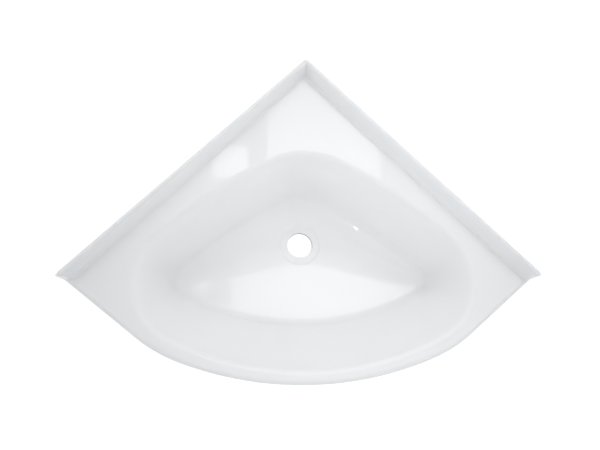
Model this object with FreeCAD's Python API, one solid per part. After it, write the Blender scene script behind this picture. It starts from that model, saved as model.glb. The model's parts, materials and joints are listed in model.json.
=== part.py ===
import FreeCAD
import Part
import math
import os

# Corner basin: a white vacuum-formed shell with an upstand along both walls,
# stiffened below with plywood and hung from two walls on steel angle brackets.
#
# Millimetres and degrees. The origin is the centre of the waste hole on its seat,
# +Z is up, +Y points to the corner of the room and +X to the right. The part is
# the same left and right of the plane X = 0.

# ---- bowl ----
BOWL_DEPTH = 112.0         # deck to waste seat
RIM_RADIUS = 8.0           # rounding between the deck and the bowl
CREASE_DEPTH = 98.0        # deck to the foot of the bowl's walls
CREASE_RADIUS = 14.0       # hollow at the foot of the walls
CREASE_TILT = 3.0          # the foot of the walls rises towards the front
WALL_LEAN = 62.0           # slope of the walls where they meet rim and hollow
WALL_EASE = 17.0           # over which the walls turn to their own slope
FLOOR_LEAN = 12.0          # slope of the floor where the hollow ends
FLOOR_EASE = 9.0           # over which the floor turns to its own slope

# An outline of the bowl is a rounded triangle of tangent arcs: one across the
# back, two long sides, two corners and one across the front, whose radius
# follows. The angles say where one arc takes over from the next.
SIDE_FROM = 63.5           # from the back arc to the side arc
SIDE_TO = 47.0             # from the side arc to the corner arc
FRONT_FROM = -63.0         # from the corner arc to the front arc
RIM_BACK = 94.0            # waste hole to the back of the rim
RIM_BACK_RADIUS = 97.0
RIM_SIDE_RADIUS = 574.0
RIM_CORNER_RADIUS = 73.0
CREASE_BACK = 70.5         # waste hole to the back of the foot of the walls
CREASE_BACK_RADIUS = 62.0
CREASE_SIDE_RADIUS = 588.0
CREASE_CORNER_RADIUS = 26.0

# Fall of the floor from the foot of the walls to the waste, as shares of the way
# in and of the way down.
FLOOR_FALL = ((0.5, 0.52), (0.85, 0.88), (1.0, 1.0))

# ---- waste ----
WASTE_HOLE = 37.0          # diameter
WASTE_SEAT = 57.0          # diameter of the flat that a waste flange sits on
WASTE_STEP = 2.0           # depth of the seat below the floor of the bowl
WASTE_STEP_FLARE = 1.5     # how far the step leans outwards
DOUBLER_WIDTH = 15.0       # radial width of the ring bonded under the seat
DOUBLER_THICKNESS = 5.0

# ---- plan of the shell, from the rim of the bowl outwards ----
WALL_LEDGE = 39.9          # rim to the wall, where they are closest
FRONT_LEDGE = 17.6         # rim to the middle of the bowed front
RETURN_LEDGE = 22.3        # rim to the short straight sides beside the front
WALL_LEG = 405.0           # length of each wall face, from the room corner
BLEND_RADIUS = 185.0       # easing from the bow into each return side
BOW_SHARE = 0.555          # share of the return side's angle that the bow turns
CORNER_RADIUS = 5.0        # vertical edge in the room corner

# ---- sheet, deck and edge ----
SHEET = 3.2                # thickness of the formed sheet
RAIL_HEIGHT = 18.0         # plywood under the deck; the lip hides all of it
LIP_DRAFT = 3.0            # the lip flares outwards
EDGE_RADIUS = 6.0          # rounding between the deck and the lip

# ---- upstand along the walls ----
UPSTAND_HEIGHT = 20.0      # above the deck
UPSTAND_CROWN = 7.5        # thickness at the full-round top
UPSTAND_DRAFT = 10.0       # slope of its inner face
UPSTAND_ROOT_RADIUS = 5.0  # hollow where it meets the deck
UPSTAND_END_DROP = 3.5     # its end face lies this far in front of the wall's end

# ---- plywood under the deck ----
RAIL_TO_BOWL = 3.6         # rail to where the rim's rounding starts
RAIL_NOSE = 5.0            # clipped off where the rails meet in the room corner
RAIL_END_GAP = 30.0        # rail's end to the wall's end, along the wall
BOARD_TO_BOWL = 11.8       # corner board to the back of the bowl's rim
BOND_GAP = 0.3             # room for the joint between the board and the rails

# ---- brackets and screws ----
BRACKET_THICKNESS = 2.0
BRACKET_WIDTH = 24.0
BRACKET_DROP = 42.0        # leg against the wall
BRACKET_BEND = 2.5         # inner radius of the bend
WALL_HOLE = 5.5            # hole for the wall screw
WALL_HOLE_DROP = 27.0      # below the lip
BRACKET_BACK = 95.0        # middle of the back bracket to the room corner
BRACKET_FRONT = 45.0       # middle of the front bracket to the rail's end
SCREW_SHANK = 3.9
SCREW_LENGTH = 15.0
SCREW_TIP = 1.0            # diameter of the blunt point
SCREW_HEAD = 7.6
SCREW_HEAD_HEIGHT = 2.6
SCREW_HEAD_RIM = 0.9       # straight part of the head
SCREW_HEAD_TOP = 5.2       # diameter of its flat top
SCREW_SLOT = 1.1           # width of each arm of the cross recess
SCREW_SLOT_LENGTH = 4.4
SCREW_SLOT_DEPTH = 1.3
SCREW_PITCH = 12.0         # between the two screws of a bracket
SCREW_PLAY = 0.6           # bracket hole over shank
PILOT_PLAY = 0.1           # pilot hole over shank

UP = FreeCAD.Vector(0, 0, 1)
ALONG_WALL = FreeCAD.Vector(1, -1, 0).normalize()
FROM_WALL = FreeCAD.Vector(-1, -1, 0).normalize()
DIAGONAL = math.sqrt(2)
CROSSING = 0.08            # lets two nearly tangent faces cross cleanly
BEYOND = 5.0               # how far a cutting shape runs past what it cuts
AMPLE = 2.0                # large cutting shapes are this many times what they cut


def sine(degrees):
    return math.sin(math.radians(degrees))


def cosine(degrees):
    return math.cos(math.radians(degrees))


def polar(angle, length=1.0):
    """Vector in plan at an angle from +X."""
    return FreeCAD.Vector(cosine(angle), sine(angle), 0) * length


def arc(centre, radius, start, end):
    """Arc in plan from one angle to another, through the angle halfway."""
    points = [centre + polar(a, radius) for a in (start, (start + end) / 2, end)]
    return Part.Arc(*points).toShape()


def line(start, end):
    return Part.LineSegment(start, end).toShape()


def mirrored(shape):
    return shape.mirror(FreeCAD.Vector(), FreeCAD.Vector(1, 0, 0))


def mirrored_point(point):
    return FreeCAD.Vector(-point.x, point.y, point.z)


def polygon(points):
    return Part.Face(Part.makePolygon(list(points) + [points[0]]))


# ---- bowl ----

def rounded_triangle(sizes, out=0.0):
    """Six tangent arcs, clockwise from the back: centre, radius, start and end."""
    back, back_radius, side_radius, corner_radius = sizes
    side_reach = side_radius - back_radius
    back_centre = FreeCAD.Vector(0, back - back_radius, 0)
    side_centre = back_centre - polar(SIDE_FROM, side_reach)
    corner_centre = side_centre + polar(SIDE_TO, side_radius - corner_radius)
    front_reach = corner_centre.x / cosine(FRONT_FROM)
    front_centre = corner_centre - polar(FRONT_FROM, front_reach)
    back_arc = (back_centre, back_radius, 180 - SIDE_FROM, SIDE_FROM)
    front_arc = (front_centre, front_reach + corner_radius, FRONT_FROM, -180 - FRONT_FROM)
    right = [
        (side_centre, side_radius, SIDE_FROM, SIDE_TO),
        (corner_centre, corner_radius, SIDE_TO, FRONT_FROM),
    ]
    left = []
    for centre, radius, start, end in reversed(right):
        left.append((mirrored_point(centre), radius, -180 - end, -180 - start))
    arcs = [back_arc] + right + [front_arc] + left
    return [(centre, radius + out, start, end) for centre, radius, start, end in arcs]


def mixed(first, second, share):
    return [a + (b - a) * share for a, b in zip(first, second)]


def bowl_arcs(share, out):
    """Outline of the bowl between rim (share 0), foot of the walls (1) and seat (2)."""
    rim = (RIM_BACK, RIM_BACK_RADIUS, RIM_SIDE_RADIUS, RIM_CORNER_RADIUS)
    crease = (CREASE_BACK, CREASE_BACK_RADIUS, CREASE_SIDE_RADIUS, CREASE_CORNER_RADIUS)
    seat = [WASTE_SEAT / 2 + WASTE_STEP_FLARE] * 4
    sizes = mixed(rim, crease, share) if share <= 1 else mixed(crease, seat, share - 1)
    return rounded_triangle(sizes, out)


RIM_CORNER = bowl_arcs(0, 0)[2][0]
RIM_FRONT = bowl_arcs(0, 0)[3][0].y - bowl_arcs(0, 0)[3][1]


# ---- plan, worked out from the sizes above ----
DECK_Z = BOWL_DEPTH
LIP_DEPTH = SHEET + RAIL_HEIGHT
LIP_Z = DECK_Z - LIP_DEPTH
LIP_FLARE = LIP_DEPTH * math.tan(math.radians(LIP_DRAFT))
UNDER_Z = DECK_Z - SHEET
RAIL_WIDTH = WALL_LEDGE - RIM_RADIUS - RAIL_TO_BOWL - SHEET
CORNER = FreeCAD.Vector(0, RIM_CORNER.x + RIM_CORNER.y, 0)
CORNER.y += (RIM_CORNER_RADIUS + WALL_LEDGE) * DIAGONAL
FRONT_Y = RIM_FRONT - FRONT_LEDGE
WALL_END = CORNER + ALONG_WALL * WALL_LEG


def return_angle():
    """Angle that the return sides drop: their line passes the rim's corner arc."""
    to_end = WALL_END - RIM_CORNER
    reach = RIM_CORNER_RADIUS + RETURN_LEDGE
    facing = math.atan2(to_end.y, to_end.x) - math.acos(reach / to_end.Length)
    return 90 + math.degrees(facing)


def bow_radius():
    """Radius of the front that meets the blend arcs at the bow's share of the angle."""
    blend_turn = RETURN_ANGLE - BOW_ANGLE
    drop = WALL_END.y - FRONT_Y
    rest = sine(RETURN_ANGLE) * WALL_END.x - cosine(RETURN_ANGLE) * drop
    rest -= BLEND_RADIUS * (1 - cosine(blend_turn))
    return rest / (cosine(blend_turn) - cosine(RETURN_ANGLE))


RETURN_ANGLE = return_angle()
BOW_ANGLE = BOW_SHARE * RETURN_ANGLE
BOW_RADIUS = bow_radius()
BOW_CENTRE = FreeCAD.Vector(0, FRONT_Y + BOW_RADIUS, 0)
BLEND_CENTRE = BOW_CENTRE + polar(BOW_ANGLE - 90, BOW_RADIUS - BLEND_RADIUS)


def outline(z, wall_in, front_out):
    """Closed wire of the plan: walls moved in, front and returns moved out."""
    lean = 45 - RETURN_ANGLE
    slide = (front_out + wall_in * sine(lean)) / cosine(lean)
    tip = WALL_END + FROM_WALL * wall_in + ALONG_WALL * slide
    apex = CORNER - FreeCAD.Vector(0, wall_in * DIAGONAL, 0)
    blend = BLEND_RADIUS + front_out
    right = [
        line(apex, tip),
        line(tip, BLEND_CENTRE + polar(RETURN_ANGLE - 90, blend)),
        arc(BLEND_CENTRE, blend, RETURN_ANGLE - 90, BOW_ANGLE - 90),
    ]
    left = [mirrored(edge) for edge in reversed(right)]
    across = arc(BOW_CENTRE, BOW_RADIUS + front_out, BOW_ANGLE - 90, -90 - BOW_ANGLE)
    wire = Part.Wire(Part.__sortEdges__(right + [across] + left))
    return wire.translate(UP * z)


def room(wall_in, corner_radius):
    """Tall prism between the two walls, with the corner of the room rounded."""
    far = WALL_LEG * AMPLE
    corner = CORNER - FreeCAD.Vector(0, (wall_in + corner_radius) * DIAGONAL, 0)
    right_wall = corner + polar(45, corner_radius)
    right_end = right_wall + ALONG_WALL * far
    left_end = mirrored_point(right_end)
    edges = [
        arc(corner, corner_radius, 135, 45),
        line(right_wall, right_end),
        line(right_end, left_end),
        line(left_end, mirrored_point(right_wall)),
    ]
    face = Part.Face(Part.Wire(edges)).translate(-UP * BOWL_DEPTH)
    return face.extrude(UP * (BOWL_DEPTH * AMPLE + UPSTAND_HEIGHT + BEYOND))


def flared(low, high, low_out, high_out, wall_in, corner_radius):
    """Body between two heights that flares at the front and is upright at the walls."""
    wires = [outline(low, wall_in - BEYOND, low_out), outline(high, wall_in - BEYOND, high_out)]
    return Part.makeLoft(wires, True, True).common(room(wall_in, corner_radius))


# ---- surfaces of the bowl ----
#
# A level of the bowl is a share between its outlines, a reach outside that
# outline, a depth below the deck and the slope of the sheet there.

def level_tilt(share):
    """None at the rim and the seat, most at the foot of the walls."""
    return -CREASE_TILT * max(0.0, 1 - abs(share - 1))


def tilted(point, share):
    """Turned about the line through the foot of the walls above the waste."""
    pivot = FreeCAD.Vector(0, 0, DECK_Z - CREASE_DEPTH)
    turn = FreeCAD.Rotation(FreeCAD.Vector(1, 0, 0), level_tilt(share))
    return pivot + turn.multVec(point - pivot)


def rounding_level(share, middle, radius, lean, ease=0.0):
    """Level on a rounding about a middle (reach, depth), or a step ahead of it."""
    out = middle[0] + radius * sine(lean) - ease * cosine(lean)
    depth = middle[1] + radius * cosine(lean) + ease * sine(lean)
    return (share, out, depth, lean)


def roll_middle():
    return (RIM_RADIUS, RIM_RADIUS - CROSSING)


def hollow_middle():
    """Middle of the hollow that touches both the wall's slope and the floor's."""
    half = (WALL_LEAN - FLOOR_LEAN) / 2
    mean = (WALL_LEAN + FLOOR_LEAN) / 2
    reach = CREASE_RADIUS / cosine(half)
    return (-reach * sine(mean), CREASE_DEPTH - reach * cosine(mean))


def wall_levels():
    roll = (0, roll_middle(), -RIM_RADIUS, WALL_LEAN)
    hollow = (1, hollow_middle(), CREASE_RADIUS, WALL_LEAN)
    upper = [rounding_level(*roll, ease) for ease in (0.0, WALL_EASE)]
    lower = [rounding_level(*hollow, ease) for ease in (-WALL_EASE, 0.0)]
    return upper + lower


def floor_levels():
    hollow = (1, hollow_middle(), CREASE_RADIUS, FLOOR_LEAN)
    levels = [rounding_level(*hollow, ease) for ease in (0.0, FLOOR_EASE)]
    fall = BOWL_DEPTH - WASTE_STEP - CREASE_DEPTH
    for share, down in FLOOR_FALL:
        levels.append((1 + share, 0.0, CREASE_DEPTH + fall * down, FLOOR_LEAN * (1 - share)))
    return levels


def arc_poles(centre, radius, start, end):
    """Control points of an arc: its two ends and where their tangents meet."""
    reach = radius / cosine((start - end) / 2)
    middle = centre + polar((start + end) / 2, reach)
    return [centre + polar(start, radius), middle, centre + polar(end, radius)]


def skins(levels, offset):
    """Six surfaces through levels, arcs across and cubic curves down."""
    outlines = []
    for share, out, depth, lean in levels:
        arcs = bowl_arcs(share, out + offset * sine(lean))
        lift = UP * (DECK_Z - depth - offset * cosine(lean))
        outlines.append([[tilted(p + lift, share) for p in arc_poles(*one)] for one in arcs])
    spans = len(levels) - 3
    counts = [4] + [1] * (spans - 1) + [4]
    faces = []
    for sector, one in enumerate(bowl_arcs(0, 0)):
        rows = list(zip(*[poles[sector] for poles in outlines]))
        start, end = one[2:]
        half = cosine((start - end) / 2)
        weights = [[share] * len(levels) for share in (1.0, half, 1.0)]
        surface = Part.BSplineSurface()
        surface.buildFromPolesMultsKnots(
            rows, [3, 3], counts, [0.0, 1.0], list(range(spans + 1)), False, False, 2, 3, weights)
        faces.append(surface.toShape())
    return faces


def rounding(share, middle, radius, lean_from, lean_to):
    """Six pieces of torus, one along each arc of an outline."""
    faces = []
    for centre, arc_radius, start, end in bowl_arcs(share, 0):
        outward = polar(start)
        core = centre + outward * (arc_radius + middle[0]) + UP * (DECK_Z - middle[1])
        points = []
        for lean in (lean_from, (lean_from + lean_to) / 2, lean_to):
            points.append(core + (outward * sine(lean) - UP * cosine(lean)) * radius)
        face = Part.Arc(*points).toShape().revolve(centre, UP, end - start)
        pivot = FreeCAD.Vector(0, 0, DECK_Z - CREASE_DEPTH)
        faces.append(face.rotate(pivot, FreeCAD.Vector(1, 0, 0), level_tilt(share)))
    return faces


def cap(level, offset):
    """Flat face that closes the bowl at its rim or at its seat."""
    share, out, depth = level[:3]
    wire = Part.Wire([arc(*one) for one in bowl_arcs(share, out)])
    return Part.Face(wire).translate(UP * (DECK_Z - depth - offset))


def bowl_body(offset):
    """Solid bowl from the deck to the waste seat, grown by offset."""
    rim_level = rounding_level(0, roll_middle(), -RIM_RADIUS, 0)
    faces = rounding(0, roll_middle(), offset - RIM_RADIUS, 0, WALL_LEAN)
    faces += skins(wall_levels(), offset)
    faces += rounding(1, hollow_middle(), CREASE_RADIUS + offset, WALL_LEAN, FLOOR_LEAN)
    faces += skins(floor_levels(), offset)
    faces += [cap(rim_level, offset), cap(floor_levels()[-1], offset)]
    shell = Part.Shell(faces)
    shell.sewShape()
    return Part.Solid(shell)


def waste_step():
    """Shallow round recess whose floor is the waste seat."""
    radius = WASTE_SEAT / 2
    rise = WASTE_STEP + CROSSING
    flare = WASTE_STEP_FLARE * rise / WASTE_STEP
    return Part.makeCone(radius, radius + flare, rise)


# ---- shell ----

def deck_and_lip():
    """Solid slab with its turned-down lip, rounded along the front and returns."""
    slab = flared(LIP_Z, DECK_Z, LIP_FLARE, 0.0, 0.0, CORNER_RADIUS)
    rounded = []
    for edge in slab.Edges:
        middle = edge.CenterOfMass
        at_deck = edge.BoundBox.ZMin > DECK_Z - CROSSING
        if at_deck and CORNER.y - middle.y - abs(middle.x) > BEYOND:
            rounded.append(edge)
    return slab.makeFillet(EDGE_RADIUS, rounded)


def under_deck():
    """Hollow below the deck, inside the lip."""
    low_out = LIP_FLARE - SHEET
    corner_radius = max(CORNER_RADIUS - SHEET, CROSSING)
    return flared(LIP_Z, UNDER_Z, low_out, -SHEET, SHEET, corner_radius)


def upstand_profile():
    """Face in the XZ plane: X from the wall, Z above the deck."""
    crown = UPSTAND_CROWN / 2
    crown_z = UPSTAND_HEIGHT - crown
    root_z = UPSTAND_ROOT_RADIUS - CROSSING
    side = FreeCAD.Vector(crown + crown * cosine(UPSTAND_DRAFT), 0, 0)
    side.z = crown_z + crown * sine(UPSTAND_DRAFT)
    root = FreeCAD.Vector(side.x + (side.z - root_z) * math.tan(math.radians(UPSTAND_DRAFT)), 0, 0)
    root.x += UPSTAND_ROOT_RADIUS / cosine(UPSTAND_DRAFT)
    root.z = root_z

    def on_root(angle):
        return root - FreeCAD.Vector(cosine(angle), 0, sine(angle)) * UPSTAND_ROOT_RADIUS

    wall_top = FreeCAD.Vector(0, 0, crown_z)
    top = FreeCAD.Vector(crown, 0, UPSTAND_HEIGHT)
    foot = on_root(90)
    wall_low = FreeCAD.Vector(0, 0, -RAIL_HEIGHT)
    foot_low = FreeCAD.Vector(foot.x, 0, -RAIL_HEIGHT)
    edges = [
        line(wall_low, wall_top),
        Part.Arc(wall_top, top, side).toShape(),
        line(side, on_root(UPSTAND_DRAFT)),
        Part.Arc(on_root(UPSTAND_DRAFT), on_root((UPSTAND_DRAFT + 90) / 2), foot).toShape(),
        line(foot, foot_low),
        line(foot_low, wall_low),
    ]
    return Part.Face(Part.Wire(edges))


def half_upstand():
    """Upstand along the right wall, mitred in the room corner and cut at its end."""
    face = upstand_profile()
    face.rotate(FreeCAD.Vector(), UP, -135)
    start = CORNER - ALONG_WALL * UPSTAND_HEIGHT * AMPLE + UP * DECK_Z
    run = face.translate(start).extrude(ALONG_WALL * WALL_LEG * AMPLE)
    end = FreeCAD.Vector(0, WALL_END.y - UPSTAND_END_DROP, 0)
    return run.common(Part.makeBox(WALL_LEG, WALL_LEG * AMPLE, DECK_Z * AMPLE, end))


def upstand():
    half = half_upstand()
    whole = half.fuse(mirrored(half)).common(room(0.0, CORNER_RADIUS))
    plan = Part.Face(outline(UNDER_Z, -BEYOND, 0.0))
    return whole.common(plan.extrude(UP * (SHEET + UPSTAND_HEIGHT + BEYOND)))


def basin_shell():
    boss = Part.makeCylinder(WASTE_SEAT / 2 + SHEET, SHEET + WASTE_STEP, -UP * SHEET)
    skin = deck_and_lip().cut(under_deck())
    skin = skin.fuse([upstand(), bowl_body(SHEET), boss])
    hole = Part.makeCylinder(WASTE_HOLE / 2, BOWL_DEPTH, -UP * BOWL_DEPTH / 2)
    return skin.cut([bowl_body(0.0), waste_step(), hole]).removeSplitter()


# ---- stiffening ----

def wall_point(along, inward, z):
    """Point measured along the right wall from the room corner, and in from it."""
    return CORNER + ALONG_WALL * along + FROM_WALL * inward + UP * z


def bracket_places():
    """Distances along a wall of its two brackets."""
    return (BRACKET_BACK, WALL_LEG - RAIL_END_GAP - BRACKET_FRONT)


def screw_places():
    """Distances along a wall of the screws that hold its two brackets."""
    half = SCREW_PITCH / 2
    return [place + side for place in bracket_places() for side in (-half, half)]


def screw_inward():
    return SHEET + RAIL_WIDTH / 2


def right_wall_rail():
    """Plywood batten bonded under the deck, mitred in the room corner."""
    near = SHEET
    far = SHEET + RAIL_WIDTH
    end = WALL_LEG - RAIL_END_GAP
    nose = near + RAIL_NOSE
    clipped = near + RAIL_NOSE / 2
    corners = ((clipped, clipped), (nose, near), (end, near), (end, far), (far, far))
    plan = polygon([wall_point(along, inward, LIP_Z) for along, inward in corners])
    rail = plan.extrude(UP * RAIL_HEIGHT)
    pilot_radius = (SCREW_SHANK + PILOT_PLAY) / 2
    depth = SCREW_LENGTH - BRACKET_THICKNESS + PILOT_PLAY
    pilots = []
    for along in screw_places():
        foot = wall_point(along, screw_inward(), LIP_Z)
        pilots.append(Part.makeCylinder(pilot_radius, depth, foot))
    return rail.cut(pilots)


def corner_board():
    """Triangle of plywood between the rails, under the ledge behind the bowl."""
    apex_y = CORNER.y - (SHEET + RAIL_WIDTH + BOND_GAP) * DIAGONAL
    front_y = RIM_BACK + RIM_RADIUS + BOARD_TO_BOWL
    half = apex_y - front_y
    points = [
        FreeCAD.Vector(0, apex_y, LIP_Z),
        FreeCAD.Vector(half, front_y, LIP_Z),
        FreeCAD.Vector(-half, front_y, LIP_Z),
    ]
    return polygon(points).extrude(UP * RAIL_HEIGHT)


def waste_doubler_ring():
    """Flat ring bonded under the waste seat, with the same hole."""
    base = -UP * (SHEET + DOUBLER_THICKNESS)
    disc = Part.makeCylinder(WASTE_HOLE / 2 + DOUBLER_WIDTH, DOUBLER_THICKNESS, base)
    return disc.cut(Part.makeCylinder(WASTE_HOLE / 2, DOUBLER_THICKNESS, base))


# ---- brackets and screws ----

def bracket(along):
    """Steel angle: one leg under the rail, the other down the wall."""
    outer = BRACKET_BEND + BRACKET_THICKNESS
    top = LIP_Z
    under = top - BRACKET_THICKNESS
    bend = top - outer
    low = top - BRACKET_DROP
    reach = SHEET + RAIL_WIDTH

    def at(inward, z):
        return wall_point(along - BRACKET_WIDTH / 2, inward, z)

    def bend_middle(radius):
        return at(outer - radius * cosine(45), bend + radius * sine(45))

    edges = [
        line(at(0, low), at(0, bend)),
        Part.Arc(at(0, bend), bend_middle(outer), at(outer, top)).toShape(),
        line(at(outer, top), at(reach, top)),
        line(at(reach, top), at(reach, under)),
        line(at(reach, under), at(outer, under)),
        Part.Arc(
            at(outer, under), bend_middle(BRACKET_BEND), at(BRACKET_THICKNESS, bend)
        ).toShape(),
        line(at(BRACKET_THICKNESS, bend), at(BRACKET_THICKNESS, low)),
        line(at(BRACKET_THICKNESS, low), at(0, low)),
    ]
    angle = Part.Face(Part.Wire(edges)).extrude(ALONG_WALL * BRACKET_WIDTH)
    through = BRACKET_THICKNESS + BEYOND * 2
    cuts = []
    for side in (-SCREW_PITCH / 2, SCREW_PITCH / 2):
        foot = wall_point(along + side, screw_inward(), under - BEYOND)
        cuts.append(Part.makeCylinder((SCREW_SHANK + SCREW_PLAY) / 2, through, foot))
    wall_hole = wall_point(along, -BEYOND, top - WALL_HOLE_DROP)
    cuts.append(Part.makeCylinder(WALL_HOLE / 2, through, wall_hole, FROM_WALL))
    return angle.cut(cuts)


def screw(foot):
    """Pan-head screw driven upwards; foot is the middle of its seat under a bracket."""
    head = SCREW_HEAD / 2
    shank = SCREW_SHANK / 2
    straight = SCREW_LENGTH - SCREW_SHANK
    corners = [(0, -SCREW_HEAD_HEIGHT), (SCREW_HEAD_TOP / 2, -SCREW_HEAD_HEIGHT),
               (head, -SCREW_HEAD_RIM), (head, 0), (shank, 0), (shank, straight),
               (SCREW_TIP / 2, SCREW_LENGTH), (0, SCREW_LENGTH)]
    profile = polygon([FreeCAD.Vector(x, 0, z) for x, z in corners])
    body = profile.revolve(FreeCAD.Vector(), UP, 360)
    arms = []
    for long, wide in ((SCREW_SLOT_LENGTH, SCREW_SLOT), (SCREW_SLOT, SCREW_SLOT_LENGTH)):
        low = -SCREW_HEAD_HEIGHT - SCREW_SLOT_DEPTH
        corner = FreeCAD.Vector(-long / 2, -wide / 2, low)
        arms.append(Part.makeBox(long, wide, SCREW_SLOT_DEPTH * 2, corner))
    return body.cut(arms).translate(foot)


def bracket_screws():
    """All eight screws that hold the brackets to the rails."""
    seat_z = LIP_Z - BRACKET_THICKNESS
    right = [screw(wall_point(along, screw_inward(), seat_z)) for along in screw_places()]
    return Part.makeCompound(right + [mirrored(one) for one in right])


def main():
    back, front = bracket_places()
    pieces = {
        "basin_shell": basin_shell(),
        "right_wall_rail": right_wall_rail(),
        "left_wall_rail": mirrored(right_wall_rail()),
        "corner_board": corner_board(),
        "waste_doubler_ring": waste_doubler_ring(),
        "right_back_bracket": bracket(back),
        "right_front_bracket": bracket(front),
        "left_back_bracket": mirrored(bracket(back)),
        "left_front_bracket": mirrored(bracket(front)),
        "bracket_screws": bracket_screws(),
    }
    print("return side %.2f degrees, bow radius %.1f" % (RETURN_ANGLE, BOW_RADIUS))
    print("room corner to waste %.1f, to front %.1f" % (CORNER.y, CORNER.y - FRONT_Y))
    os.makedirs("parts", exist_ok=True)
    for name, shape in pieces.items():
        box = shape.BoundBox
        size = "%.1f x %.1f x %.1f" % (box.XLength, box.YLength, box.ZLength)
        print(name, "solids", len(shape.Solids), "valid", shape.isValid(), size)
        shape.exportStep("parts/%s.step" % name)


main()
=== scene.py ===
import json
import math

import bmesh
import bpy
import numpy as np
from mathutils import Matrix, Vector
from mathutils.geometry import delaunay_2d_cdt

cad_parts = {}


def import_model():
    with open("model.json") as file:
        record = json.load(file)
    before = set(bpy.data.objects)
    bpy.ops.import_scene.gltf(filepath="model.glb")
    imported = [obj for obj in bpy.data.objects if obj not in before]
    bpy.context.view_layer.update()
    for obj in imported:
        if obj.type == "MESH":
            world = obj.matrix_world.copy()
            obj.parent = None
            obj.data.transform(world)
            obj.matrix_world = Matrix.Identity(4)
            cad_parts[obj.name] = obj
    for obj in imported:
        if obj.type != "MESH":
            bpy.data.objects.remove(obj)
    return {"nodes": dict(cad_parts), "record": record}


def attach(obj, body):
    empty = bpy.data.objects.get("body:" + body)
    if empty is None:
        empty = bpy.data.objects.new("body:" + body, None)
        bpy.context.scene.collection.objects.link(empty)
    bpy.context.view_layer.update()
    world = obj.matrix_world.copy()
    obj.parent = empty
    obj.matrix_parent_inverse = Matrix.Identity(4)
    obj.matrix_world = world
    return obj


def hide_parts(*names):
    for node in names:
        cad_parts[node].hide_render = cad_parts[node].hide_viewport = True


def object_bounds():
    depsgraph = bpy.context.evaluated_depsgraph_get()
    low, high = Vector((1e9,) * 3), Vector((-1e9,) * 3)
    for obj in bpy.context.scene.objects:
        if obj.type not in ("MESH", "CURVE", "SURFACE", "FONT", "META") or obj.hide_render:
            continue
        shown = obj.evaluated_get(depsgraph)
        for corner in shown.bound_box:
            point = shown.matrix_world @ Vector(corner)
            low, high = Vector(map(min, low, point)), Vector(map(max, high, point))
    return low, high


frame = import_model()
cad_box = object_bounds()

# Corner basin. The formed shell is made again here from the same sizes as the CAD
# part, as one dense sheet whose gloss has no facets. Every other piece is the CAD
# node itself. Lengths of the shell are in millimetres and angles in degrees, and the
# scene is in metres.

MM = 0.001

# ---- bowl, as in the part's source ----
BOWL_DEPTH = 112.0         # from the deck down to the waste seat
RIM_RADIUS = 8.0           # rounding from the deck into the wall
CREASE_DEPTH = 98.0        # where the lines of wall and floor meet
CREASE_RADIUS = 14.0       # rounding from the wall into the floor
CREASE_TILT = 3.0          # the crease is shallower in front
WALL_LEAN = 62.0           # slope of the wall next to its roundings
WALL_EASE = 17.0           # its straight lead out of them
FLOOR_LEAN = 12.0          # slope of the floor next to the crease
FLOOR_EASE = 9.0
SIDE_FROM = 63.5           # directions outwards where the outline's arcs meet
SIDE_TO = 47.0
FRONT_FROM = -63.0
# Back of the outline, then the radii of back, side and corner.
RIM_SIZES = (94.0, 97.0, 574.0, 73.0)
CREASE_SIZES = (70.5, 62.0, 588.0, 26.0)
# Share of the floor's way to the waste and share of its fall.
FLOOR_FALL = ((0.5, 0.52), (0.85, 0.88), (1.0, 1.0))
WASTE_HOLE = 37.0
WASTE_SEAT = 57.0
WASTE_STEP = 2.0
WASTE_STEP_FLARE = 1.5

# ---- plan, sheet and upstand, as in the part's source ----
WALL_LEDGE = 39.9          # from the bowl's rim to the wall
FRONT_LEDGE = 17.6         # from the rim to the middle of the front
RETURN_LEDGE = 22.3        # from the rim to the straight return
WALL_LEG = 405.0
BLEND_RADIUS = 185.0
BOW_SHARE = 0.555
CORNER_RADIUS = 5.0
SHEET = 3.2
LIP_DEPTH = 21.2
LIP_DRAFT = 3.0
EDGE_RADIUS = 6.0
UPSTAND_HEIGHT = 20.0
UPSTAND_CROWN = 7.5
UPSTAND_DRAFT = 10.0
UPSTAND_ROOT_RADIUS = 5.0
UPSTAND_END_DROP = 3.5

# ---- finish of the formed sheet that the CAD leaves out ----
VALLEY_RADIUS = 3.0        # the upstands' foot in the room corner
END_RISE = 3.2             # length over which an upstand rises at its end
SMALL_ROUND = 0.5          # edges of the waste hole and foot of the lip
STEP_ROUND = 0.6           # edges of the waste step
SEAT_INSET = 2.4           # the seat is flat from here inwards

# ---- density of the mesh ----
ARC_STEPS = (30, 44, 60, 90, 60, 44)    # along the six arcs of the bowl's outline
TOP_STEPS = {"roll": 14, "wall": 32, "hollow": 9, "floor": 43}
UNDER_STEPS = {"roll": 6, "wall": 16, "hollow": 6, "floor": 21}
TOP_FLOOR_END = 0.985      # how far the floor's skin runs before the waste takes over
UNDER_FLOOR_END = 0.96
WASTE_STEPS = 12
QUARTER_STEPS = 4          # around each edge of the waste hole
CROWN_STEPS = 14
ROOT_STEPS = 11
FLANK_SHARES = (0.33, 0.67)
WALL_STEPS = (6, 60, 24)   # room corner, straight stretch and end of the upstand
END_STEPS = 3              # from the upstand's end to the rounding of the edge
EDGE_STEPS = 9
LIP_STEPS = 8
FOOT_TURNS = (45, 90)
RETURN_STEPS = 21
BLEND_STEPS = 21
BOW_STEPS = 43
FOOT_CLEAR = 2.5           # first point of the return past the upstand's foot
WELD = 0.02
SLIVER = 0.005
SHARP_ANGLE = 35

UP = np.array((0.0, 0.0, 1.0))
IN_PLAN = np.array((1.0, 1.0, 0.0))
DIAGONAL = math.sqrt(2)
ALONG = np.array((1.0, -1.0, 0.0)) / DIAGONAL
INWARD = np.array((-1.0, -1.0, 0.0)) / DIAGONAL


def sine(degrees):
    return math.sin(math.radians(degrees))


def cosine(degrees):
    return math.cos(math.radians(degrees))


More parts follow.
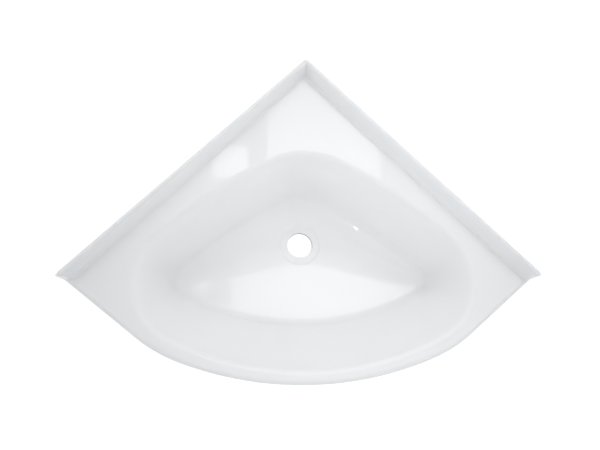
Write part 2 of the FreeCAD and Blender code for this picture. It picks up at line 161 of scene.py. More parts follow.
def tangent(degrees):
    return math.tan(math.radians(degrees))


def polar(angle, length=1.0):
    return np.array((cosine(angle), sine(angle), 0.0)) * length


def flipped(point):
    """The point's mirror image in the middle plane."""
    return np.array((-point[0], point[1], point[2]))


# ---- outlines of the bowl ----

def rounded_triangle(sizes, out):
    """Six tangent arcs, clockwise from the back: centre, radius, start and end."""
    back, back_radius, side_radius, corner_radius = sizes
    back_centre = np.array((0.0, back - back_radius, 0.0))
    side_centre = back_centre - polar(SIDE_FROM, side_radius - back_radius)
    corner_centre = side_centre + polar(SIDE_TO, side_radius - corner_radius)
    front_reach = corner_centre[0] / cosine(FRONT_FROM)
    front_centre = corner_centre - polar(FRONT_FROM, front_reach)
    arcs = [(back_centre, back_radius, 180 - SIDE_FROM, SIDE_FROM),
            (side_centre, side_radius, SIDE_FROM, SIDE_TO),
            (corner_centre, corner_radius, SIDE_TO, FRONT_FROM),
            (front_centre, front_reach + corner_radius, FRONT_FROM, -180 - FRONT_FROM)]
    for centre, radius, start, end in (arcs[2], arcs[1]):
        arcs.append((flipped(centre), radius, -180 - end, -180 - start))
    return [(centre, radius + out, start, end) for centre, radius, start, end in arcs]


def bowl_arcs(share, out):
    """Outline at the rim (0), at the crease (1), at the waste (2) or between them."""
    seat = np.full(4, WASTE_SEAT / 2 + WASTE_STEP_FLARE)
    rim, crease = np.array(RIM_SIZES), np.array(CREASE_SIZES)
    if share <= 1:
        return rounded_triangle(rim + (crease - rim) * share, out)
    return rounded_triangle(crease + (seat - crease) * (share - 1), out)


def outline_points(arcs):
    """Closed row of points along six arcs, each arc without its last point."""
    points = []
    for (centre, radius, start, end), steps in zip(arcs, ARC_STEPS):
        for step in range(steps):
            points.append(centre + polar(start + (end - start) * step / steps, radius))
    return np.array(points)


def bowl_loop(share, out, depth):
    """Outline of the bowl at a depth, tilted as the bowl is."""
    loop = outline_points(bowl_arcs(share, out)) + UP * (BOWL_DEPTH - depth)
    turn = -CREASE_TILT * max(0.0, 1 - abs(share - 1))
    pivot = UP * (BOWL_DEPTH - CREASE_DEPTH)
    matrix = np.array(Matrix.Rotation(math.radians(turn), 3, "X"))
    return (loop - pivot) @ matrix.T + pivot


def circle_row(radius, z):
    """Circle about the waste, with its points in the directions of the outline's."""
    arcs = [(np.zeros(3), radius, start, end) for _, _, start, end in bowl_arcs(2, 0)]
    return outline_points(arcs) + UP * z


# ---- the bowl's surface, row by row ----

def hollow_middle():
    """Centre of the crease's rounding: reach from the outline and depth."""
    half = (WALL_LEAN - FLOOR_LEAN) / 2
    mean = (WALL_LEAN + FLOOR_LEAN) / 2
    reach = CREASE_RADIUS / cosine(half)
    return (-reach * sine(mean), CREASE_DEPTH - reach * cosine(mean))


# The two roundings: share of the outline, centre and radius.
ROLL = (0, (RIM_RADIUS, RIM_RADIUS), -RIM_RADIUS)
HOLLOW = (1, hollow_middle(), CREASE_RADIUS)


def rounding_level(rounding, lean, ease=0.0):
    """Level on a rounding where it has a slope, or that far on along its tangent."""
    share, middle, radius = rounding
    out = middle[0] + radius * sine(lean) - ease * cosine(lean)
    depth = middle[1] + radius * cosine(lean) + ease * sine(lean)
    return (share, out, depth, lean)


def level_loop(level, offset):
    """Loop of a level, moved square to the surface by an offset to the underside."""
    share, out, depth, lean = level
    return bowl_loop(share, out + offset * sine(lean), depth + offset * cosine(lean))


def rounding_rows(rounding, first, last, steps, offset):
    leans = np.linspace(first, last, steps + 1)
    return [level_loop(rounding_level(rounding, lean), offset) for lean in leans]


def wall_levels():
    upper = [rounding_level(ROLL, WALL_LEAN, ease) for ease in (0.0, WALL_EASE)]
    lower = [rounding_level(HOLLOW, WALL_LEAN, ease) for ease in (-WALL_EASE, 0.0)]
    return upper + lower


def floor_levels():
    levels = [rounding_level(HOLLOW, FLOOR_LEAN, ease) for ease in (0.0, FLOOR_EASE)]
    fall = BOWL_DEPTH - WASTE_STEP - CREASE_DEPTH
    for share, down in FLOOR_FALL:
        levels.append((1 + share, 0.0, CREASE_DEPTH + fall * down, FLOOR_LEAN * (1 - share)))
    return levels


def spline_weights(count, place):
    """Weights of a clamped cubic spline's control rows at a place from 0 to below 1."""
    spans = count - 3
    knots = [0.0] * 4 + [float(k) for k in range(1, spans)] + [float(spans)] * 4
    at = place * spans
    weights = [1.0 if knots[i] <= at < knots[i + 1] else 0.0 for i in range(len(knots) - 1)]
    for degree in (1, 2, 3):
        for i in range(len(knots) - 1 - degree):
            value = 0.0
            if knots[i + degree] > knots[i]:
                value += (at - knots[i]) / (knots[i + degree] - knots[i]) * weights[i]
            if knots[i + degree + 1] > knots[i + 1]:
                ahead = knots[i + degree + 1]
                value += (ahead - at) / (ahead - knots[i + 1]) * weights[i + 1]
            weights[i] = value
    return weights[:count]


def skin_rows(levels, places, offset):
    """Rows of a smooth skin that follows the loops of some levels."""
    loops = [level_loop(level, offset) for level in levels]
    rows = []
    for place in places:
        weights = spline_weights(len(levels), place)
        rows.append(sum(weight * loop for weight, loop in zip(weights, loops)))
    return rows


def bowl_side(steps, floor_end, offset):
    """One side of the sheet, from the rim down to the waste."""
    wall_places = np.linspace(0, 1, steps["wall"] + 1)[1:-1]
    floor_places = np.linspace(0, floor_end, steps["floor"] + 1)[1:]
    rows = rounding_rows(ROLL, 0, WALL_LEAN, steps["roll"], offset)
    rows += skin_rows(wall_levels(), wall_places, offset)
    rows += rounding_rows(HOLLOW, WALL_LEAN, FLOOR_LEAN, steps["hollow"], offset)
    rows += skin_rows(floor_levels(), floor_places, offset)
    return rows


def waste_rows():
    """From the floor over the step and the seat, through the hole, to the underside."""
    seat, hole = WASTE_SEAT / 2, WASTE_HOLE / 2
    middle = seat + WASTE_STEP_FLARE / 2
    slope = WASTE_STEP_FLARE / 2 + STEP_ROUND
    rows = []
    for turn in np.linspace(90, -90, WASTE_STEPS + 1):
        height = WASTE_STEP * (1 + sine(turn)) / 2
        rows.append(circle_row(middle + slope * sine(turn), height))
    rows.append(circle_row(seat - SEAT_INSET, 0.0))
    for centre_z, first in ((-SMALL_ROUND, 0), (SMALL_ROUND - SHEET, 90)):
        for turn in np.linspace(first, first + 90, QUARTER_STEPS + 1):
            radius = hole + SMALL_ROUND * (1 - sine(turn))
            rows.append(circle_row(radius, centre_z + SMALL_ROUND * cosine(turn)))
    boss = seat + SHEET
    rows.append(circle_row(boss - SMALL_ROUND, -SHEET))
    rows.append(circle_row(boss, SMALL_ROUND - SHEET))
    rows.append(circle_row(boss, WASTE_STEP - SHEET))
    return rows


def bowl_rows():
    """The whole bowl from the deck's top, down, through the hole and up below."""
    top = bowl_side(TOP_STEPS, TOP_FLOOR_END, 0.0)
    under = bowl_side(UNDER_STEPS, UNDER_FLOOR_END, SHEET)
    return top + waste_rows() + under[::-1]


# ---- plan of the shell ----

RIM_ARCS = bowl_arcs(0, 0)
RIM_CORNER, RIM_CORNER_RADIUS = RIM_ARCS[2][:2]
RIM_FRONT_Y = RIM_ARCS[3][0][1] - RIM_ARCS[3][1]
CORNER_Y = RIM_CORNER[0] + RIM_CORNER[1] + (RIM_CORNER_RADIUS + WALL_LEDGE) * DIAGONAL
CORNER = np.array((0.0, CORNER_Y, 0.0))
FRONT_Y = RIM_FRONT_Y - FRONT_LEDGE
WALL_END = CORNER + ALONG * WALL_LEG
END_Y = WALL_END[1] - UPSTAND_END_DROP
TO_END = WALL_END - RIM_CORNER
RETURN_ANGLE = 90 + math.degrees(
    math.atan2(TO_END[1], TO_END[0])
    - math.acos((RIM_CORNER_RADIUS + RETURN_LEDGE) / np.linalg.norm(TO_END)))
BOW_ANGLE = BOW_SHARE * RETURN_ANGLE
BLEND_TURN = RETURN_ANGLE - BOW_ANGLE
BOW_RADIUS = (
    sine(RETURN_ANGLE) * WALL_END[0] - cosine(RETURN_ANGLE) * (WALL_END[1] - FRONT_Y)
    - BLEND_RADIUS * (1 - cosine(BLEND_TURN))) / (cosine(BLEND_TURN) - cosine(RETURN_ANGLE))
BOW_CENTRE = np.array((0.0, FRONT_Y + BOW_RADIUS, 0.0))
BLEND_CENTRE = BOW_CENTRE + polar(BOW_ANGLE - 90, BOW_RADIUS - BLEND_RADIUS)
RETURN_OUT = polar(RETURN_ANGLE - 90)
RETURN_ALONG = -polar(RETURN_ANGLE)
ALONG_OUT = float(np.dot(ALONG, RETURN_OUT))
LIP_Z = BOWL_DEPTH - LIP_DEPTH
LIP_LOW = LIP_Z + SMALL_ROUND
UNDER_Z = BOWL_DEPTH - SHEET
DRAFT_RISE = tangent(LIP_DRAFT)
LIP_FLARE = LIP_DEPTH * DRAFT_RISE

# The front edge: its rounding starts this far inside the outline and ends, level
# with the slope of the lip, this far outside it. The profile gives the reach outside
# the outline and the fall below the deck.
EDGE_IN = EDGE_RADIUS * (1 - sine(LIP_DRAFT)) / cosine(LIP_DRAFT)
EDGE_OUT = EDGE_RADIUS * cosine(LIP_DRAFT) - EDGE_IN
EDGE_PROFILE = [(EDGE_RADIUS * sine(lean) - EDGE_IN, EDGE_RADIUS * (1 - cosine(lean)))
                for lean in np.linspace(0, 90 - LIP_DRAFT, EDGE_STEPS + 1)]


def return_reach(point):
    """How far a point lies outside the line of the return side."""
    return float(np.dot(point - WALL_END, RETURN_OUT))


def edge_drop(out):
    """Fall of the rounded edge below the deck at a reach outside the outline."""
    past = min(out + EDGE_IN, EDGE_RADIUS)
    return 0.0 if past <= 0 else EDGE_RADIUS - math.sqrt(EDGE_RADIUS ** 2 - past ** 2)


def end_share(y):
    """How much of its height an upstand has near its end, rising smoothly."""
    t = min(max((y - END_Y) / END_RISE, 0.0), 1.0)
    return t ** 3 * (10 - 15 * t + 6 * t * t)


def upstand_profile():
    """Rows of the upstand from the wall to its foot: reach and height."""
    crown = UPSTAND_CROWN / 2
    crown_z = UPSTAND_HEIGHT - crown
    rows = []
    for turn in np.linspace(180, UPSTAND_DRAFT, CROWN_STEPS + 1):
        rows.append((crown + crown * cosine(turn), crown_z + crown * sine(turn)))
    side, side_z = rows[-1]
    root_x = side + (side_z - UPSTAND_ROOT_RADIUS) * tangent(UPSTAND_DRAFT)
    root_x += UPSTAND_ROOT_RADIUS / cosine(UPSTAND_DRAFT)
    root = []
    for turn in np.linspace(UPSTAND_DRAFT, 90, ROOT_STEPS + 1):
        root.append((root_x - UPSTAND_ROOT_RADIUS * cosine(turn),
                     UPSTAND_ROOT_RADIUS * (1 - sine(turn))))
    for share in FLANK_SHARES:
        rows.append((side + (root[0][0] - side) * share, side_z + (root[0][1] - side_z) * share))
    return rows + root


PROFILE = upstand_profile()
FOOT = PROFILE[-1][0]


def wall_place(along, reach):
    """Point at a place along the right wall and at a reach from it."""
    return CORNER + ALONG * along + INWARD * reach


def round_corner(along, reach, radius):
    """Point beside the wall, on an arc where it is near the room corner."""
    middle = reach + radius
    if along >= middle or radius <= 0:
        return wall_place(along, reach)
    turn = 45 * (middle - along) / radius
    return wall_place(middle, middle) + polar(45 + turn, radius)


def corner_radius(reach):
    """Radius in the room corner, round outside and round in the upstands' valley."""
    if reach < CORNER_RADIUS:
        return CORNER_RADIUS - reach
    return VALLEY_RADIUS * (reach - CORNER_RADIUS) / (FOOT - CORNER_RADIUS)


def return_crossing(reach, out):
    """Place along the wall where a line beside it crosses one beside the return."""
    return (out - return_reach(wall_place(0.0, reach))) / ALONG_OUT


TIP = return_crossing(0.0, EDGE_OUT)


def wall_stations():
    """Pairs of places along the wall, at its face and at the upstand's foot."""
    fine = FOOT + VALLEY_RADIUS
    middle = WALL_LEG / 2
    last = (CORNER_Y - END_Y) * DIAGONAL - FOOT
    straight = last - END_RISE * DIAGONAL
    feet = []
    for start, end, steps in zip((FOOT, fine, straight), (fine, straight, last), WALL_STEPS):
        feet += list(np.linspace(start, end, steps + 1)[:-1])
    faces = np.interp(feet, (FOOT, middle, straight, last),
                      (0.0, middle, straight + FOOT, last + FOOT))
    stations = [(min(face, TIP), foot) for face, foot in zip(faces, feet)]
    edge = return_crossing(FOOT, -EDGE_IN)
    feet = list(np.linspace(last, edge, END_STEPS + 1)[:-1])
    feet += [return_crossing(FOOT, reach) for reach, _ in EDGE_PROFILE]
    return stations + [(TIP, foot) for foot in feet]


WALL_STATIONS = wall_stations()


def top_height(point, rise):
    """Height of the sheet's top near the walls for a rise above the deck."""
    return BOWL_DEPTH + rise * end_share(point[1]) - edge_drop(return_reach(point))


def wall_rows():
    """Grid of the upstand: one row of points per station, from wall to foot."""
    rows = []
    for face, foot in WALL_STATIONS:
        row = []
        for reach, rise in PROFILE:
            along = face + (foot - face) * reach / FOOT
            point = round_corner(max(along, reach), reach, corner_radius(reach))
            row.append(point + UP * top_height(point, rise))
        rows.append(row)
    return rows


def arc_places(centre, radius, angles):
    return [(centre + polar(angle - 90, radius), polar(angle - 90)) for angle in angles]


def front_places():
    """Points on the outline and their outward directions, from return to middle."""
    foot = wall_place(return_crossing(FOOT, 0.0), FOOT)
    blend = BLEND_CENTRE + RETURN_OUT * BLEND_RADIUS
    first = float(np.dot(foot - WALL_END, RETURN_ALONG)) + FOOT_CLEAR
    last = float(np.dot(blend - WALL_END, RETURN_ALONG))
    return_steps = np.linspace(first, last, RETURN_STEPS + 1)[:-1]
    blend_angles = np.linspace(RETURN_ANGLE, BOW_ANGLE, BLEND_STEPS + 1)[:-1]
    places = [(WALL_END + RETURN_ALONG * step, RETURN_OUT) for step in return_steps]
    places += arc_places(BLEND_CENTRE, BLEND_RADIUS, blend_angles)
    places += arc_places(BOW_CENTRE, BOW_RADIUS, np.linspace(BOW_ANGLE, 0, BOW_STEPS + 1))
    return places


def edge_column(place, out):
    """Across the rounding of the front edge, from the deck outwards."""
    return [place + out * reach + UP * (BOWL_DEPTH - drop) for reach, drop in EDGE_PROFILE]


def lip_heights(top_z):
    """Heights of the lip's points, from below a top edge to where its foot is rounded."""
    return [top_z + (LIP_LOW - top_z) * step / LIP_STEPS for step in range(1, LIP_STEPS + 1)]


def rounded_foot(edge, inward):
    """The last points of a column, around the lip's foot to its underside."""
    points = []
    for turn in FOOT_TURNS:
        inset = SMALL_ROUND * (1 - cosine(turn))
        points.append(edge + inward * inset + UP * (LIP_LOW - SMALL_ROUND * sine(turn)))
    return points


def lip_column(top, out):
    """From the end of the edge's rounding down the sloping lip to its foot."""
    base = (top - out * EDGE_OUT) * IN_PLAN
    column = [top]
    for z in lip_heights(top[2]):
        reach = max(EDGE_OUT, (BOWL_DEPTH - z) * DRAFT_RISE)
        column.append(base + out * reach + UP * z)
    return column + rounded_foot(base + out * LIP_FLARE, -out)


def wall_column(row, face):
    """From the crown's back edge down the flat wall face to the foot of the lip."""
    top = row[0]
    inward = INWARD
    if face < CORNER_RADIUS:
        inward = (row[1] - top) * IN_PLAN
        inward = inward / np.linalg.norm(inward)
    column = [top] + [top * IN_PLAN + UP * z for z in lip_heights(top[2])]
    return column + rounded_foot(top * IN_PLAN, inward)


def outer_columns(walls, edges, places):
    """Down the outside of the sheet: wall face, tip, return and front."""
    tip = walls[-1]
    columns = [wall_column(row, face) for row, (face, _) in zip(walls[:-1], WALL_STATIONS)]
    columns.append(lip_column(tip[0], ALONG / ALONG_OUT))
    columns += [lip_column(point, RETURN_OUT) for point in tip[1:]]
    columns += [lip_column(edge[-1], out) for edge, (_, out) in zip(edges, places)]
    return columns


def inner_columns(fan_count, places):
    """Up the inside of the lip, one column for each one of its outside."""
    levels = []
    for z, inset in ((LIP_Z, SMALL_ROUND), (LIP_LOW, 0.0), (UNDER_Z, 0.0)):
        share = (z - LIP_Z) / (UNDER_Z - LIP_Z)
        levels.append((z, inset, LIP_FLARE * (1 - share) - SHEET))
    columns = []
    for face, _ in WALL_STATIONS:
        column = []
        for z, inset, out in levels:
            reach = SHEET - inset
            place = reach + (return_crossing(SHEET, out) - reach) * face / TIP
            column.append(round_corner(place, reach, CORNER_RADIUS - reach) + UP * z)
        columns.append(column)
    low_tip = wall_place(return_crossing(SHEET, LIP_FLARE - SHEET), SHEET)
    length = float(np.dot(places[0][0] - low_tip, RETURN_ALONG))
    for step in range(1, fan_count + 1):
        column = []
        for z, inset, out in levels:
            start = wall_place(return_crossing(SHEET, out + inset), SHEET)
            column.append(start + RETURN_ALONG * (length * step / (fan_count + 1)) + UP * z)
        columns.append(column)
    for place, outward in places:
        columns.append([place + outward * (out + inset) + UP * z for z, inset, out in levels])
    return columns


# ---- mesh ----

class Sheet:
    """Points and faces of one mesh, gathered grid by grid."""

    def __init__(self):
        self.points = []
        self.faces = []

    def row(self, points):
        """Adds points in metres and gives their indices."""
        first = len(self.points)
        self.points.extend([tuple(float(c) * MM for c in p) for p in points])
        return list(range(first, len(self.points)))

    def grid(self, rows, closed=False):
        """Adds rows of points and the faces between neighbouring rows."""
        indices = [self.row(row) for row in rows]
        count = len(indices[0])
        for one, two in zip(indices, indices[1:]):
            for i in range(count if closed else count - 1):
                j = (i + 1) % count
                self.faces.append((one[i], one[j], two[j], two[i]))


def inside(points, loop):
    """Which of some plan points lie inside a closed loop."""
    x, y = points[:, 0], points[:, 1]
    within = np.zeros(len(points), dtype=bool)
    for a, b in zip(loop, np.roll(loop, -1, axis=0)):
        crosses = (a[1] > y) != (b[1] > y)
        if crosses.any():
            at = a[0] + (y - a[1]) * (b[0] - a[0]) / (b[1] - a[1])
            within ^= crosses & (x < at)
    return within


def ring_edges(first, count):
    return [(first + i, first + (i + 1) % count) for i in range(count)]


CDT_ALL_TRIANGLES = 0
CDT_TOLERANCE = 1e-9


def fill_plane(sheet, outer, inner, facing_up):
    """Flat triangles between an outer and an inner loop of the sheet's points."""
    indices = outer + inner
    plan = [Vector(sheet.points[i][:2]) for i in indices]
    edges = ring_edges(0, len(outer)) + ring_edges(len(outer), len(inner))
    result = delaunay_2d_cdt(plan, edges, [], CDT_ALL_TRIANGLES, CDT_TOLERANCE)
    places, triangles, source = result[0], result[2], result[3]
    corners = np.array([[places[i][:] for i in triangle] for triangle in triangles])
    middles = corners.mean(axis=1)
    flat = np.array([p[:] for p in plan])
    keep = inside(middles, flat[:len(outer)]) & ~inside(middles, flat[len(outer):])
    for triangle, kept in zip(triangles, keep):
        if kept:
            face = [indices[source[i][0]] for i in triangle]
            a, b, c = [Vector(sheet.points[i]) for i in face]
            upward = (b - a).cross(c - a).z > 0
            sheet.faces.append(tuple(face if upward == facing_up else face[::-1]))


def closed_loop(half):
    """A whole loop from its right half, which starts and ends in the middle plane."""
    return half + [flipped(p) for p in half[-2:0:-1]]


def outer_ring(sheet):
    """Upstands, rounded front edge, lip and its inside; gives the two flat loops."""
    walls = wall_rows()
    places = front_places()
    edges = [edge_column(place, out) for place, out in places]
    outer = outer_columns(walls, edges, places)
    inner = inner_columns(len(walls[-1]) - 1, places)
    lip = [down + up for down, up in zip(outer, inner)]
    edge_rows = len(EDGE_PROFILE)
    edges.insert(0, [row[-1] for row in walls[-edge_rows:]])
    for turn in (np.array, flipped):
        start = len(sheet.faces)
        for rows in (walls, edges, lip):
            sheet.grid([[turn(p) for p in row] for row in rows])
        if turn is flipped:
            sheet.faces[start:] = [face[::-1] for face in sheet.faces[start:]]
    deck = [row[-1] for row in walls[:-edge_rows]] + [column[0] for column in edges]
    under = [column[-1] for column in inner]
    return sheet.row(closed_loop(deck)), sheet.row(closed_loop(under))


def shell_mesh():
    sheet = Sheet()
    rows = bowl_rows()
    sheet.grid(rows, closed=True)
    top_loop = sheet.row(rows[0])
    under_loop = sheet.row(rows[-1])
    deck, under = outer_ring(sheet)
    fill_plane(sheet, deck, top_loop, True)
    fill_plane(sheet, under, under_loop, False)
    mesh = bpy.data.meshes.new("formed_shell")
    mesh.from_pydata(sheet.points, [], sheet.faces)
    return mesh


def clean_mesh(mesh):
    """Joins the grids, faces them outwards and marks the sharp edges."""
    body = bmesh.new()
    body.from_mesh(mesh)
    bmesh.ops.remove_doubles(body, verts=body.verts, dist=WELD * MM)
    bmesh.ops.dissolve_degenerate(body, edges=body.edges, dist=SLIVER * MM)
    bmesh.ops.recalc_face_normals(body, faces=body.faces)
    for face in body.faces:
        face.smooth = True
    limit = math.radians(SHARP_ANGLE)
    for edge in body.edges:
        edge.smooth = len(edge.link_faces) == 2 and edge.calc_face_angle() < limit
    body.to_mesh(mesh)
    body.free()


def formed_shell(material):
    mesh = shell_mesh()
    clean_mesh(mesh)
    mesh.materials.append(material)
    piece = bpy.data.objects.new("formed_shell", mesh)
    bpy.context.collection.objects.link(piece)
    even = piece.modifiers.new("even_normals", "WEIGHTED_NORMAL")
    even.keep_sharp = True
    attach(piece, "root")
    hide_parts("basin_shell")


# ---- materials ----

def new_material(name, colour, roughness, metallic=0.0):
    material = bpy.data.materials.new(name)
    material.use_nodes = True
    shader = material.node_tree.nodes["Principled BSDF"]
    shader.inputs["Base Color"].default_value = (*colour, 1.0)
    shader.inputs["Roughness"].default_value = roughness
    shader.inputs["Metallic"].default_value = metallic
    return material, material.node_tree, shader


def noise(tree, scale, detail=3.0, stretch=(1.0, 1.0, 1.0)):
    """Noise in object space, which for every piece is the part's own frame."""
    nodes, links = tree.nodes, tree.links
    place = nodes.new("ShaderNodeTexCoord")
    mapping = nodes.new("ShaderNodeMapping")
    mapping.inputs["Scale"].default_value = stretch
    texture = nodes.new("ShaderNodeTexNoise")
    texture.inputs["Scale"].default_value = scale
    texture.inputs["Detail"].default_value = detail
    links.new(place.outputs["Object"], mapping.inputs["Vector"])
    links.new(mapping.outputs["Vector"], texture.inputs["Vector"])
    return texture.outputs["Fac"]


def ramp(tree, source, stops):
    """Colours at their places along a source that runs from 0 to 1."""
    node = tree.nodes.new("ShaderNodeValToRGB")
    elements = node.color_ramp.elements
    while len(elements) < len(stops):
        elements.new(0.5)
    for element, (place, colour) in zip(elements, stops):
        element.position = place
        element.color = (*colour, 1.0)
    tree.links.new(source, node.inputs["Fac"])
    return node.outputs["Color"]


def spread(tree, source, low, high):
    """A source from 0 to 1, made to run from low to high."""
    node = tree.nodes.new("ShaderNodeMapRange")
    node.inputs["To Min"].default_value = low
    node.inputs["To Max"].default_value = high
    tree.links.new(source, node.inputs["Value"])
    return node.outputs["Result"]


def bump(tree, shader, source, depth, below=None):
    """Relief with a depth in metres, on top of the relief below it."""
    node = tree.nodes.new("ShaderNodeBump")
    node.inputs["Distance"].default_value = depth
    tree.links.new(source, node.inputs["Height"])
    if below is not None:
        tree.links.new(below, node.inputs["Normal"])
    tree.links.new(node.outputs["Normal"], shader.inputs["Normal"])
    return node.outputs["Normal"]


ACRYLIC_IOR = 1.49


def white_acrylic():
    """Gloss white sheet: faint cloudiness, slight waviness and orange peel."""
    material, tree, shader = new_material("white_acrylic", (0.94, 0.947, 0.95), 0.03)
    shader.inputs["IOR"].default_value = ACRYLIC_IOR
    cloud = noise(tree, scale=14.0)
    tint = ramp(tree, cloud, [(0.3, (0.935, 0.943, 0.947)), (0.7, (0.944, 0.95, 0.952))])
    rough = spread(tree, noise(tree, scale=60.0), low=0.022, high=0.045)
    tree.links.new(tint, shader.inputs["Base Color"])
    tree.links.new(rough, shader.inputs["Roughness"])
    wave = bump(tree, shader, noise(tree, scale=16.0, detail=1.0), depth=0.0001)
    peel = noise(tree, scale=420.0, detail=1.0)
    bump(tree, shader, peel, depth=0.000004, below=wave)
    return material


def plywood():
    """Birch plywood: long figure on the faces and fine plies on the edges."""
    material, tree, shader = new_material("plywood", (0.62, 0.44, 0.26), 0.62)
    figure = noise(tree, scale=90.0, detail=6.0, stretch=(1.0, 1.0, 9.0))
    colour = ramp(tree, figure, [(0.25, (0.42, 0.27, 0.14)), (0.5, (0.60, 0.42, 0.24)),
                                 (0.75, (0.70, 0.52, 0.32))])
    tree.links.new(colour, shader.inputs["Base Color"])
    bump(tree, shader, figure, depth=0.0002)
    return material


def grey_abs():
    """Matt grey sheet with a fine grain."""
    material, tree, shader = new_material("grey_abs", (0.53, 0.54, 0.55), 0.55)
    cloud = noise(tree, scale=70.0)
    colour = ramp(tree, cloud, [(0.3, (0.50, 0.51, 0.52)), (0.7, (0.56, 0.57, 0.58))])
    tree.links.new(colour, shader.inputs["Base Color"])
    bump(tree, shader, noise(tree, scale=900.0, detail=2.0), depth=0.00005)
    return material


def zinc(name, colour, roughness):
    """Bright zinc plating with a faint bluish and yellowish spangle."""
    material, tree, shader = new_material(name, colour, roughness, metallic=1.0)
    cloud = noise(tree, scale=160.0, detail=5.0)
    cool = tuple(c * f for c, f in zip(colour, (0.90, 0.95, 1.02)))
    warm = tuple(c * f for c, f in zip(colour, (1.05, 1.02, 0.92)))
    tree.links.new(ramp(tree, cloud, [(0.35, cool), (0.65, warm)]), shader.inputs["Base Color"])
    patches = noise(tree, scale=500.0, detail=4.0)
    rough = spread(tree, patches, low=roughness * 0.8, high=roughness * 1.25)
    tree.links.new(rough, shader.inputs["Roughness"])
    bump(tree, shader, noise(tree, scale=1200.0, detail=2.0), depth=0.00002)
    return material


def dress_nodes(finishes):
    """Gives every CAD node the finish of its slot in the record."""
    for row in frame["record"]["subparts"]:
        materials = frame["nodes"][row["node"]].data.materials
        materials.clear()
        materials.append(finishes[row["material_slot"]])


# ---- floor and background ----

FLOOR_SIZE = 6.0
FLOOR_GAP = 0.0005         # below the part
FLOOR_GREY = 0.80          # as the part is lit by it
FLOOR_GLOW = 0.88          # as it is seen: a plain glow, and a grey that takes shadow
FLOOR_SHADE = 0.3
WHITE = (1.0, 1.0, 1.0)
SKY_COLOUR = (0.96, 0.975, 1.0)
# Brightness of the room by the sine of the height above the horizon.
SKY_LEVELS = ((0.0, 0.52), (0.12, 0.82), (0.3, 0.95), (0.6, 0.56), (1.0, 0.22))


def seen_ray(tree):
    """1 for the rays that show the background: camera, glossy and transmission."""
    path = tree.nodes.new("ShaderNodeLightPath")
    value = path.outputs["Is Camera Ray"]
    for ray in ("Is Glossy Ray", "Is Transmission Ray"):
        either = tree.nodes.new("ShaderNodeMath")
        either.operation = "MAXIMUM"
        tree.links.new(value, either.inputs[0])
        tree.links.new(path.outputs[ray], either.inputs[1])
        value = either.outputs["Value"]
    return value


def either_shader(tree, choice, zero, one):
    """The first shader where the choice is 0 and the second where it is 1."""
    mix = tree.nodes.new("ShaderNodeMixShader")
    tree.links.new(choice, mix.inputs["Fac"])
    tree.links.new(zero, mix.inputs[1])
    tree.links.new(one, mix.inputs[2])
    return mix.outputs["Shader"]


def grey_diffuse(tree, grey):
    node = tree.nodes.new("ShaderNodeBsdfDiffuse")
    node.inputs["Color"].default_value = (grey, grey, grey, 1.0)
    return node.outputs["BSDF"]


def pale_floor():
    """Pale floor that keeps the part's shadow and is clear from below."""
    material = bpy.data.materials.new("pale_floor")
    material.use_nodes = True
    tree = material.node_tree
    nodes, links = tree.nodes, tree.links
    nodes.clear()
    glow = nodes.new("ShaderNodeEmission")
    glow.inputs["Strength"].default_value = FLOOR_GLOW
    seen = nodes.new("ShaderNodeAddShader")
    links.new(glow.outputs["Emission"], seen.inputs[0])
    links.new(grey_diffuse(tree, FLOOR_SHADE), seen.inputs[1])
    top = either_shader(tree, seen_ray(tree), grey_diffuse(tree, FLOOR_GREY),
                        seen.outputs["Shader"])
    side = nodes.new("ShaderNodeNewGeometry")
    clear = nodes.new("ShaderNodeBsdfTransparent")
    one_way = either_shader(tree, side.outputs["Backfacing"], top, clear.outputs["BSDF"])
    output = nodes.new("ShaderNodeOutputMaterial")
    links.new(one_way, output.inputs["Surface"])
    return material


def floor():
    low = cad_box[0][2] - FLOOR_GAP
    bpy.ops.mesh.primitive_plane_add(size=FLOOR_SIZE, location=(0.0, 0.0, low))
    plane = bpy.context.object
    plane.name = "floor"
    plane.data.materials.append(pale_floor())


def background(tree, colour):
    node = tree.nodes.new("ShaderNodeBackground")
    node.inputs["Color"].default_value = (*colour, 1.0)
    return node


def world():
    """A soft room that lights the part, behind a background seen as plain white."""
    sky = bpy.data.worlds.new("studio")
    sky.use_nodes = True
    tree = sky.node_tree
    nodes, links = tree.nodes, tree.links
    nodes.clear()
    place = nodes.new("ShaderNodeTexCoord")
    parts = nodes.new("ShaderNodeSeparateXYZ")
    links.new(place.outputs["Generated"], parts.inputs["Vector"])
    greys = [(height, (level, level, level)) for height, level in SKY_LEVELS]
    room = background(tree, SKY_COLOUR)
    links.new(ramp(tree, parts.outputs["Z"], greys), room.inputs["Strength"])
    white = background(tree, WHITE)
    white.inputs["Strength"].default_value = 1.0
    shown = either_shader(tree, seen_ray(tree), room.outputs["Background"],
                          white.outputs["Background"])
    output = nodes.new("ShaderNodeOutputWorld")
    links.new(shown, output.inputs["Surface"])
    bpy.context.scene.world = sky


# ---- lamps, in metres and watts ----

DAYLIGHT = (0.95, 0.975, 1.0)
LAMPLIGHT = (1.0, 0.93, 0.95)
SPOT_RADIUS = 0.15
SPOT_BLEND = 1.0


def hang(name, data, place, target, mirrored):
    """Hangs a lamp at a place and turns it to its target."""
    lamp = bpy.data.objects.new(name, data)
    lamp.location = place
    lamp.rotation_euler = (Vector(target) - Vector(place)).to_track_quat("-Z", "Y").to_euler()
    lamp.visible_glossy = mirrored
    bpy.context.collection.objects.link(lamp)


def panel(name, place, target, size, power, colour, mirrored):
    data = bpy.data.lights.new(name, "AREA")
    data.shape = "RECTANGLE"
    data.size, data.size_y = size
    data.energy = power
    data.color = colour
    hang(name, data, place, target, mirrored)


def level_panel(name, place, size, power, colour=WHITE):
    """A panel that faces straight down and shows in the gloss."""
    panel(name, place, (place[0], place[1], 0.0), size, power, colour, mirrored=True)


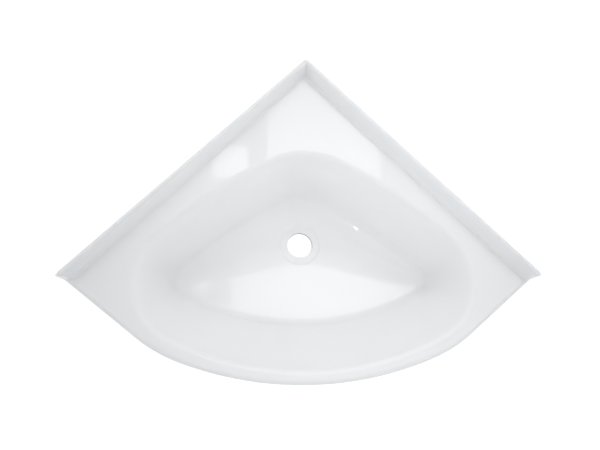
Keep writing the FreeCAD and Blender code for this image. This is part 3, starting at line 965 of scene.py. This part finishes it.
def fill_panel(name, place, target, size, power):
    """A panel that lights the part and doesn't show in the gloss."""
    panel(name, place, target, size, power, WHITE, mirrored=False)


def spot(name, place, target, cone, power):
    """A soft round pool of light that doesn't show in the gloss."""
    data = bpy.data.lights.new(name, "SPOT")
    data.spot_size = math.radians(cone)
    data.spot_blend = SPOT_BLEND
    data.shadow_soft_size = SPOT_RADIUS
    data.energy = power
    hang(name, data, place, target, mirrored=False)


def lights():
    level_panel("window", (0.31, 1.15, 2.0), (0.66, 0.80), power=3.15, colour=DAYLIGHT)
    level_panel("side_window", (-0.235, 0.84, 2.0), (0.19, 0.19), power=0.30)
    fill_panel("back_fill", (0.0, 2.3, 2.1), (0.0, 0.0, 0.1), (2.4, 1.0), power=8.4)
    fill_panel("left_fill", (-1.7, 0.0, 1.3), (0.1, 0.0, 0.0), (0.9, 0.9), power=2.8)
    fill_panel("right_fill", (1.7, 0.0, 1.3), (-0.1, 0.0, 0.0), (0.9, 0.9), power=2.6)
    spot("bowl_light", (0.1, -0.9, 2.1), (0.035, 0.0, 0.05), cone=16.5, power=50.0)
    spot("bowl_back_light", (0.2, 1.9, 2.1), (0.05, -0.05, 0.05), cone=17.0, power=19.0)
    level_panel("lamp", (0.046, -0.016, 1.5), (0.014, 0.014), power=0.05, colour=LAMPLIGHT)


# ---- camera, at the photograph's place and angle ----

CAMERA_PLACE = (-0.05760, -0.13048, 0.64393)
CAMERA_RIGHT = (0.99612, -0.01270, 0.08706)
CAMERA_UP = (-0.00877, 0.97026, 0.24190)
FOCAL_PIXELS = 445.6
PHOTO_WIDTH = 600
SENSOR = 36.0
CLIP_START = 0.01


def camera():
    data = bpy.data.cameras.new("camera")
    data.sensor_fit = "HORIZONTAL"
    data.sensor_width = SENSOR
    data.lens = SENSOR * FOCAL_PIXELS / PHOTO_WIDTH
    data.clip_start = CLIP_START
    eye = bpy.data.objects.new("camera", data)
    right = Vector(CAMERA_RIGHT).normalized()
    back = right.cross(Vector(CAMERA_UP)).normalized()
    up = back.cross(right)
    turn = Matrix((right, up, back)).transposed().to_4x4()
    eye.matrix_world = Matrix.Translation(CAMERA_PLACE) @ turn
    bpy.context.collection.objects.link(eye)
    bpy.context.scene.camera = eye


def build():
    finishes = {
        "white_acrylic": white_acrylic(),
        "plywood": plywood(),
        "grey_abs": grey_abs(),
        "zinc_steel": zinc("zinc_steel", (0.60, 0.61, 0.62), roughness=0.30),
        "screw_zinc": zinc("screw_zinc", (0.62, 0.62, 0.58), roughness=0.24),
    }
    dress_nodes(finishes)
    formed_shell(finishes["white_acrylic"])
    floor()
    world()
    lights()
    camera()
    bpy.context.scene.view_settings.view_transform = "Standard"


build()
